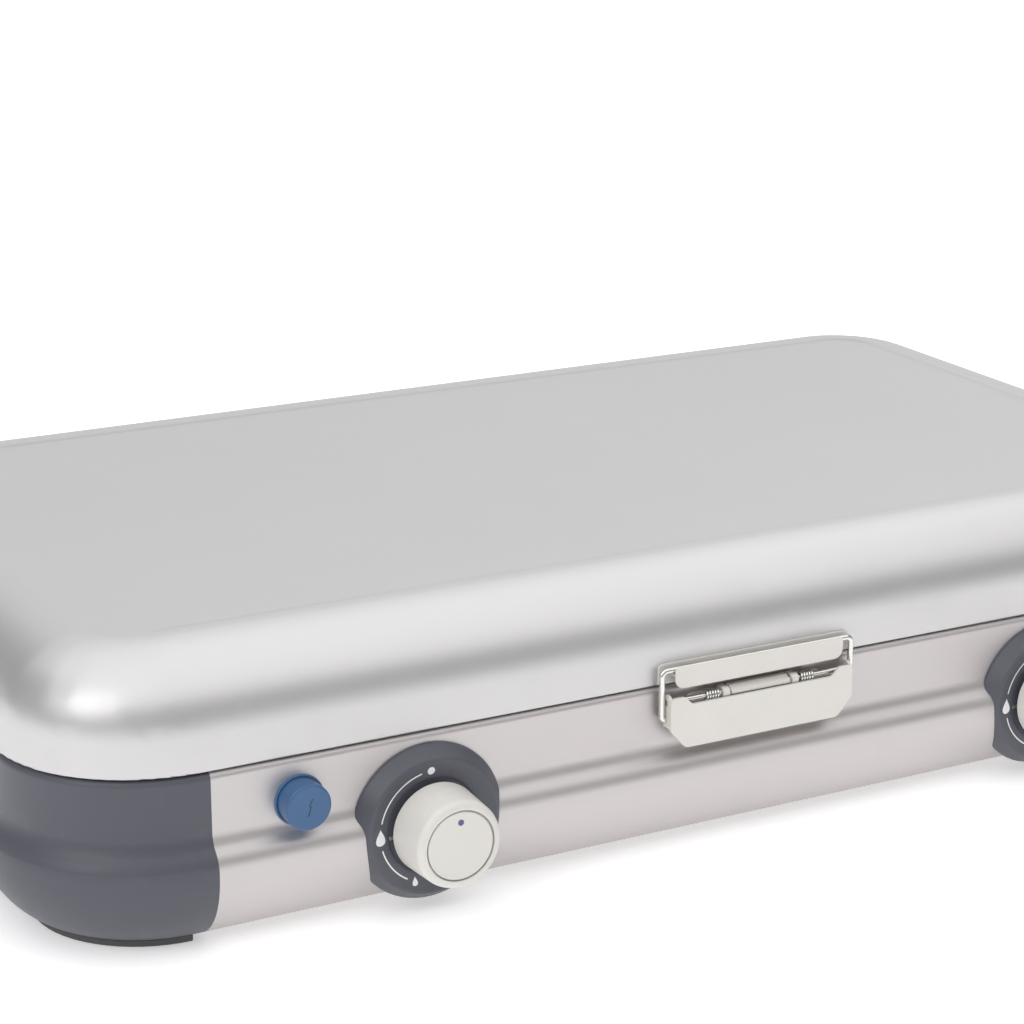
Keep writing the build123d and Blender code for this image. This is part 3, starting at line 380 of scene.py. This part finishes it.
print_white = Finish("dial_print", "ivory_plastic", IOR=1.5)
ink = print_white.noise(1400.0, 2.0)
print_white.feed(Base_Color=print_white.mixed(ink, (0.80, 0.80, 0.80, 1), (0.90, 0.90, 0.90, 1)))
print_white.feed(Roughness=0.42 + ink * 0.1)
for side in ("left", "right"):
    shapes = [disc(OFF_DOT_ACROSS, PRINT_R, OFF_DOT_R),
              arc(math.radians(13), math.radians(77), PRINT_R, ARC_WIDTH),
              flame(math.radians(91), PRINT_R, 2.3 * MM, 6.8 * MM),
              arc(math.radians(105), math.radians(149), PRINT_R, ARC_WIDTH),
              flame(math.radians(158), PRINT_R, 1.3 * MM, 3.8 * MM)]
    print_film("dial_marks_" + side, shapes, "bezel_" + side, "base", print_white)

# ---- Knobs ---------------------------------------------------------------------------------------
# Off-white moulded knobs with a pressed-in face disc. The narrow ring between them is a shadow gap,
# and a small blue-grey printed dot near the rim of the disc shows where the knob points.
POINTER_REACH, POINTER_R = 9.6 * MM, 1.25 * MM
ivory = moulded("ivory_plastic", "ivory_plastic", (0.735, 0.715, 0.675), 0.36, 3200.0, 0.000008)
pointer_ink = Finish("pointer_ink", "ivory_plastic", IOR=1.5)
pointer_tone = pointer_ink.noise(2200.0, 2.0)
pointer_ink.feed(Base_Color=pointer_ink.mixed(pointer_tone, (0.085, 0.085, 0.22, 1), (0.12, 0.12, 0.28, 1)))
pointer_ink.feed(Roughness=0.4 + pointer_tone * 0.1)
for side in ("left", "right"):
    smooth_copy("knob_" + side, ivory, 30.0)
    smooth_copy("knob_disc_" + side, ivory, 20.0)
    dot = disc(0, POINTER_REACH, POINTER_R)
    print_film("pointer_dot_" + side, [dot], "knob_disc_" + side, "knob_" + side, pointer_ink)

# ---- Igniter -------------------------------------------------------------------------------------
# Glossy blue push button in a flanged bush, with a small dark spark sign printed on its face. The
# piezo unit behind it is black, and its two sleeved leads run to the burners' electrodes.
blue = moulded("igniter_blue", "blue_plastic", (0.045, 0.122, 0.262), 0.30, 1800.0, 0.00001)
smooth_copy("igniter_button", blue, 30.0)
smooth_copy("igniter_bush", blue, 30.0)
spark_ink = Finish("spark_ink", "blue_plastic", IOR=1.5)
spark_tone = spark_ink.noise(2500.0, 2.0)
spark_ink.feed(Base_Color=spark_ink.mixed(spark_tone, (0.012, 0.02, 0.04, 1), (0.02, 0.03, 0.06, 1)))
spark_ink.feed(Roughness=0.4 + spark_tone * 0.1)
spark_line = [(1.6, 4.2), (-0.2, 1.2), (0.5, 0.2), (-0.9, -4.2)]
spark_back = [(-0.35, -4.2), (1.0, 0.35), (0.35, 1.3), (2.0, 4.2)]
spark = [(a * SPARK_SCALE, u * SPARK_SCALE) for a, u in spark_line + spark_back]
print_film("spark_sign", [spark], "igniter_button", "igniter_button", spark_ink)
black = moulded("piezo_black", "black_plastic", (0.02, 0.02, 0.021), 0.45)
sleeve = moulded("lead_sleeve", "lead_sleeve", (0.035, 0.035, 0.036), 0.6)
glaze = Finish("insulator_glaze", "ceramic", Coat_Weight=0.6, Coat_Roughness=0.08)
glaze_tone = glaze.noise(300.0, 3.0)
glaze.feed(Base_Color=glaze.mixed(glaze_tone, (0.72, 0.69, 0.62, 1), (0.84, 0.82, 0.77, 1)))
glaze.feed(Roughness=0.25 + glaze_tone * 0.15)
smooth_copy("igniter_body", black)
for side in ("left", "right"):
    smooth_copy("ignition_lead_" + side, sleeve, 60.0)
    smooth_copy("electrode_" + side, glaze, 40.0)

# ---- Latch ---------------------------------------------------------------------------------------
# Pressed steel strike, lever and lug plate under thick ivory enamel, with a bright wire bail and a
# pin that carries two wound springs.
enamel = Finish("latch_enamel", "ivory_paint", Coat_Weight=0.5, Coat_Roughness=0.12, IOR=1.5)
peel = enamel.noise(900.0, 3.0)
settle = enamel.noise(60.0, 3.0)
enamel.feed(Base_Color=enamel.mixed(settle, (0.675, 0.650, 0.605, 1), (0.725, 0.705, 0.66, 1)))
enamel.feed(Roughness=0.33 + peel * 0.08)
enamel.relief(peel + settle * 0.5, 0.00002)


def plated(name, slot_name, tone, roughness):
    """Bright zinc plate: soft clouding, fine drawing lines and dull spots."""
    finish = Finish(name, slot_name, Metallic=1.0)
    cloud = finish.noise(160.0, 4.0, 0.6)
    lines = finish.noise(2400.0, 2.0, 0.5, finish.stretched((0.12, 1.0, 1.0)))
    dark = tuple(v * 0.82 for v in tone) + (1,)
    finish.feed(Base_Color=finish.mixed(cloud, dark, tone + (1,)))
    finish.feed(Roughness=roughness + cloud * 0.14 + lines * 0.06)
    finish.relief(lines + cloud * 0.5, 0.00001)
    return finish


zinc = plated("zinc_plate", "plated_steel", (0.78, 0.77, 0.74), 0.14)
smooth_copy("latch_lever", enamel, 30.0, 0.35 * MM)
smooth_copy("latch_strike", enamel, 30.0, 0.25 * MM)
smooth_copy("latch_bracket", enamel, 30.0, 0.2 * MM)
smooth_copy("strike_rivets", enamel, 40.0)
smooth_copy("latch_bail", zinc, 60.0)
smooth_copy("latch_pin", zinc, 40.0)


def grown(name, build, sizes, finish, body, *nodes):
    """Run a geometry tree once, keep its result as a plain mesh and put it on its body."""
    tree = bpy.data.node_groups.new(name, "GeometryNodeTree")
    tree.interface.new_socket("Geometry", in_out="OUTPUT", socket_type="NodeSocketGeometry")
    for key, value in sizes.items():
        kind = "NodeSocketInt" if isinstance(value, int) else "NodeSocketFloat"
        kind = "NodeSocketVector" if isinstance(value, (tuple, Vector)) else kind
        tree.interface.new_socket(key, in_out="INPUT", socket_type=kind)
    entry = tree.nodes.new("NodeGroupInput")

    def add(kind, settings, sockets):
        made = tree.nodes.new(kind)
        for key, value in settings.items():
            setattr(made, key, value)
        for key, value in sockets.items():
            if isinstance(value, bpy.types.NodeSocket):
                tree.links.new(value, made.inputs[key])
            else:
                made.inputs[key].default_value = value
        return made.outputs[0]

    shape = build(add, entry.outputs)
    real = add("GeometryNodeRealizeInstances", {}, {"Geometry": shape})
    dressed = add("GeometryNodeSetMaterial", {}, {"Geometry": real, "Material": finish.material})
    leave = tree.nodes.new("NodeGroupOutput")
    tree.links.new(dressed, leave.inputs[0])
    piece = bpy.data.objects.new(name, bpy.data.meshes.new(name))
    scene.collection.objects.link(piece)
    modifier = piece.modifiers.new(name, "NODES")
    modifier.node_group = tree
    for item in tree.interface.items_tree:
        if item.in_out == "INPUT":
            size = sizes[item.name]
            modifier[item.identifier] = tuple(size) if isinstance(size, Vector) else size
    result = bpy.data.meshes.new_from_object(piece.evaluated_get(bpy.context.evaluated_depsgraph_get()))
    piece.modifiers.clear()
    piece.data = result
    result.name = name
    result.polygons.foreach_set("use_smooth", [True] * len(result.polygons))
    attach(piece, body)
    if nodes:
        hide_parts(*nodes)


def wound_springs(add, sizes):
    """Two close-wound coils on one axis along X, a wire swept along a spiral."""
    radius = {"Start Radius": sizes["Coil radius"], "End Radius": sizes["Coil radius"]}
    coil = add("GeometryNodeCurveSpiral", {},
               {"Resolution": 24, "Rotations": sizes["Turns"], "Height": sizes["Length"], **radius})
    wire = add("GeometryNodeCurvePrimitiveCircle", {}, {"Resolution": 10, "Radius": sizes["Wire radius"]})
    spring = add("GeometryNodeCurveToMesh", {}, {"Curve": coil, "Profile Curve": wire, "Fill Caps": True})
    laid = add("GeometryNodeTransform", {}, {"Geometry": spring, "Rotation": (0, math.pi / 2, 0)})
    seats = add("GeometryNodeMeshLine", {"mode": "END_POINTS"},
                {"Start Location": sizes["Left seat"], "Offset": sizes["Right seat"], "Count": 2})
    return add("GeometryNodeInstanceOnPoints", {}, {"Points": seats, "Instance": laid})


spring_low, spring_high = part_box("latch_springs")
spring_axis = (spring_low + spring_high) / 2
SPRING_LENGTH, SPRING_TURNS = 6.0 * MM, 4.8
COIL_R, SPRING_WIRE_R = 1.95 * MM, 0.5 * MM
grown("latch_springs_wound", wound_springs,
      {"Coil radius": COIL_R, "Wire radius": SPRING_WIRE_R, "Turns": SPRING_TURNS, "Length": SPRING_LENGTH,
       "Left seat": Vector((spring_low.x, spring_axis.y, spring_axis.z)),
       "Right seat": Vector((spring_high.x - SPRING_LENGTH, spring_axis.y, spring_axis.z))},
      zinc, "base", "latch_springs")

# ---- Hinges --------------------------------------------------------------------------------------
# Two zinc-plated butt hinges. Their leaves are riveted to the rear of the base and of the lid,
# and turn on headed pins.
for node in ("hinge_leaves_base", "hinge_leaves_lid"):
    smooth_copy(node, zinc, 30.0, 0.2 * MM)
for node in ("hinge_pins", "hinge_rivets_base", "hinge_rivets_lid"):
    smooth_copy(node, zinc, 35.0)

# ---- Feet ----------------------------------------------------------------------------------------
# Quarter-ring pads moulded in soft black rubber. Each is pegged into the underside of an end
# cap, near a corner.
rubber = moulded("foot_rubber", "rubber", (0.10, 0.10, 0.102), 0.62, 1500.0, 0.00003)
smooth_copy("feet", rubber, 35.0, 0.5 * MM)

# ---- Hob tray and burners ------------------------------------------------------------------------
# Black vitreous enamel on the tray and burner caps, sand-rough die-cast aluminium for the cups and
# crowns, and bright wire grids that carry the pans.
glass_black = Finish("black_enamel", "enamel", Coat_Weight=0.7, Coat_Roughness=0.06, IOR=1.52)
speck = glass_black.cells(700.0)
pool = glass_black.noise(30.0, 3.0)
glass_black.feed(Base_Color=glass_black.mixed(
    speck.step(0.16, 0.05), (0.10, 0.10, 0.105, 1), (0.022, 0.022, 0.024, 1)))
glass_black.feed(Roughness=0.22 + pool * 0.16)
glass_black.relief(speck + pool, 0.00003)
casting = Finish("cast_aluminium", "cast_aluminium", Metallic=1.0)
sand = casting.cells(1300.0)
burn = casting.noise(45.0, 4.0, 0.6)
casting.feed(Base_Color=casting.mixed(burn, (0.40, 0.39, 0.38, 1), (0.62, 0.61, 0.60, 1)))
casting.feed(Roughness=0.42 + sand * 0.2)
casting.relief(sand, 0.00006)
smooth_copy("hob_tray", glass_black, 30.0)
smooth_copy("tray_rim", glass_black, 30.0)
for side in ("left", "right"):
    smooth_copy("burner_cap_" + side, glass_black, 35.0)
    smooth_copy("burner_cup_" + side, casting, 30.0)
    smooth_copy("burner_crown_" + side, casting, 30.0, 0.15 * MM)
    smooth_copy("pan_support_" + side, zinc, 50.0)

# ---- Gas train -----------------------------------------------------------------------------------
# Machined brass taps, jets and inlet, and a drawn copper pipe bent to join them. The mixing tubes
# and the tap brackets are zinc-plated steel.
brass = plated("machined_brass", "brass", (0.80, 0.62, 0.30), 0.2)
copper = plated("drawn_copper", "copper", (0.82, 0.47, 0.31), 0.24)
for side in ("left", "right"):
    smooth_copy("valve_" + side, brass, 30.0, 0.3 * MM)
    smooth_copy("jet_" + side, brass, 30.0)
    smooth_copy("spindle_" + side, zinc, 30.0)
    smooth_copy("mixing_tube_" + side, zinc, 35.0)
    smooth_copy("valve_bracket_" + side, zinc, 30.0)
smooth_copy("gas_pipe", copper, 60.0)
smooth_copy("gas_inlet", brass, 30.0, 0.2 * MM)


def thread_crests(add, sizes):
    """Rounded thread crests: rings on a line of points along the spigot."""
    ring = add("GeometryNodeCurvePrimitiveCircle", {}, {"Resolution": 64, "Radius": sizes["Thread radius"]})
    crest = add("GeometryNodeCurvePrimitiveCircle", {}, {"Resolution": 6, "Radius": sizes["Crest"]})
    band = add("GeometryNodeCurveToMesh", {}, {"Curve": ring, "Profile Curve": crest})
    upright = add("GeometryNodeTransform", {}, {"Geometry": band, "Rotation": (math.pi / 2, 0, 0)})
    line = add("GeometryNodeMeshLine", {"mode": "OFFSET"},
               {"Start Location": sizes["Start"], "Offset": sizes["Pitch"], "Count": sizes["Crests"]})
    return add("GeometryNodeInstanceOnPoints", {}, {"Points": line, "Instance": upright})


inlet_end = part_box("gas_inlet")[1].y
inlet_mount = frame["record"]["mounts"][1]
spigot_r = inlet_mount["dims"]["r_mm"] * MM
spigot = Vector(inlet_mount["pos_m"])
THREAD_PITCH = 1.5 * MM
THREAD_CRESTS = 9
CREST_R = 0.45 * MM
THREAD_END_GAP = 1.2 * MM
first_crest = inlet_end - THREAD_END_GAP - THREAD_PITCH * (THREAD_CRESTS - 1)
grown("inlet_thread", thread_crests,
      {"Thread radius": spigot_r, "Crest": CREST_R, "Crests": THREAD_CRESTS,
       "Pitch": Vector((0, THREAD_PITCH, 0)), "Start": Vector((spigot.x, first_crest, spigot.z))},
      brass, "base")

# ---- Windshields ---------------------------------------------------------------------------------
# Two flat steel wings sprayed with a plain satin lacquer. They lie under the lid when it is
# closed and turn on long pins held in plated lugs.
wing_paint = silver_lacquer("windshield_lacquer", "windshield_steel", (0.60, 0.60, 0.60), 0.34)
for side in ("left", "right"):
    smooth_copy("windshield_" + side, wing_paint, 30.0)
smooth_copy("windshield_brackets", zinc, 30.0)
smooth_copy("windshield_pins", zinc, 40.0)

# ---- Screws --------------------------------------------------------------------------------------
# Zinc-plated cross-recessed screws. The small ones hold the tray to the base, and the larger
# ones hold the end caps from below.
smooth_copy("tray_screws", zinc, 35.0)
smooth_copy("cap_screws", zinc, 35.0)
